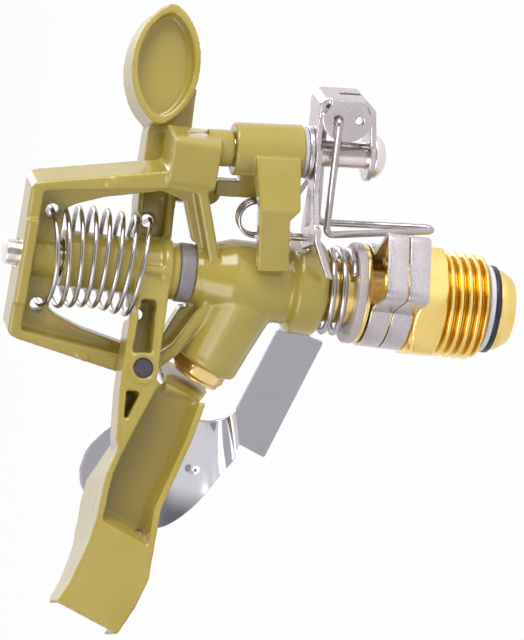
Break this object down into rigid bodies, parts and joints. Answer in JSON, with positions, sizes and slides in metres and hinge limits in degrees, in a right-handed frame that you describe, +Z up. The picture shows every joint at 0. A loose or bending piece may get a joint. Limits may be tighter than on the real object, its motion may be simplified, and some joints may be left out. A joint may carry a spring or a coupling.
{
  "type": "impact sprinkler",
  "caption": "Impact sprinkler head with a sprung swing arm, trip mechanism, stop collars and a side deflector, on a threaded half inch inlet.",
  "frame": {"origin": "on the axis of rotation, at the foot of the inlet thread", "axes": "+Z up along the axis of rotation, -X the way the jet leaves, +Y towards the deflector"},
  "size_m": [0.1168, 0.0544, 0.1018],
  "materials": {
    "cast_paint": "gloss olive gold enamel over a zinc casting",
    "inlet_brass": "turned, bright",
    "nozzle_brass": "turned, bright",
    "strip_steel": "brushed stainless strip",
    "wire_steel": "polished spring wire",
    "pin_steel": "ground and polished",
    "flap_chrome": "polished sheet",
    "grey_nylon": "satin grey",
    "white_nylon": "satin white",
    "seal_rubber": "smooth black",
    "plug_rubber": "dark plug"
  },
  "bodies": {
    "inlet": {"bearing_nipple": "inlet_brass", "lower_nylon_washer": "white_nylon", "lower_rubber_seal": "seal_rubber", "upper_nylon_washer": "white_nylon", "pressure_spring": "wire_steel"},
    "collar_lower": {"trip_collar_lower": "strip_steel"},
    "collar_upper": {"trip_collar_upper": "strip_steel"},
    "head": {"head_body": "cast_paint", "sleeve_tube": "inlet_brass", "nozzle": "nozzle_brass", "fulcrum_pin": "pin_steel", "hub_thrust_washer": "grey_nylon", "arm_spring": "wire_steel", "trip_pivot_pin": "pin_steel", "deflector_washer": "strip_steel", "deflector_screw": "pin_steel"},
    "arm": {"swing_arm": "cast_paint", "arm_bush_lower": "white_nylon", "arm_bush_upper": "white_nylon", "strike_plug": "plug_rubber"},
    "trip": {"trip_bracket": "strip_steel", "spring_stud": "pin_steel", "pivot_washer_lower": "strip_steel", "pivot_washer_upper": "grey_nylon", "toggle_spring": "wire_steel"},
    "dog": {"reversing_dog": "cast_paint"},
    "wire": {"trip_wire": "wire_steel"},
    "deflector": {"deflector_flap": "flap_chrome"}
  },
  "joints": [
    {"name": "head_turn", "type": "hinge", "parent": "inlet", "child": "head", "pos_m": [0, 0, 0.04], "axis": [0, 0, 1], "range_deg": [-8, 255]},
    {"name": "collar_lower_turn", "type": "hinge", "parent": "inlet", "child": "collar_lower", "pos_m": [0, 0, 0.0177], "axis": [0, 0, 1], "range_deg": [-150, 0]},
    {"name": "collar_upper_turn", "type": "hinge", "parent": "inlet", "child": "collar_upper", "pos_m": [0, 0, 0.0221], "axis": [0, 0, 1], "range_deg": [-150, 0]},
    {"name": "arm_swing", "type": "hinge", "parent": "head", "child": "arm", "pos_m": [0, 0, 0.073], "axis": [0, 0, 1], "range_deg": [0, 110], "stiffness_Nm_per_rad": 0.012, "springref_deg": -28.65, "deforming": ["arm_spring"]},
    {"name": "trip_turn", "type": "hinge", "parent": "head", "child": "trip", "pos_m": [0.02705, 0, 0.038], "axis": [-0.0698, 0, 0.9976], "range_deg": [-5, 0]},
    {"name": "dog_turn", "type": "hinge", "parent": "trip", "child": "dog", "pos_m": [0.02635, 0, 0.04798], "axis": [-0.0698, 0, 0.9976], "range_deg": [0, 15], "deforming": ["toggle_spring"]},
    {"name": "wire_swing", "type": "hinge", "parent": "trip", "child": "wire", "pos_m": [0.03538, 0, 0.03648], "axis": [0, 1, 0], "range_deg": [-70, 0]},
    {"name": "deflector_tilt", "type": "hinge", "parent": "head", "child": "deflector", "pos_m": [-0.0052, 0.0107, 0.035], "axis": [0, 1, 0], "range_deg": [-12, 12]}
  ],
  "couplings": [
    {"joint": "dog_turn", "follows": "trip_turn", "ratio": -3}
  ]
}
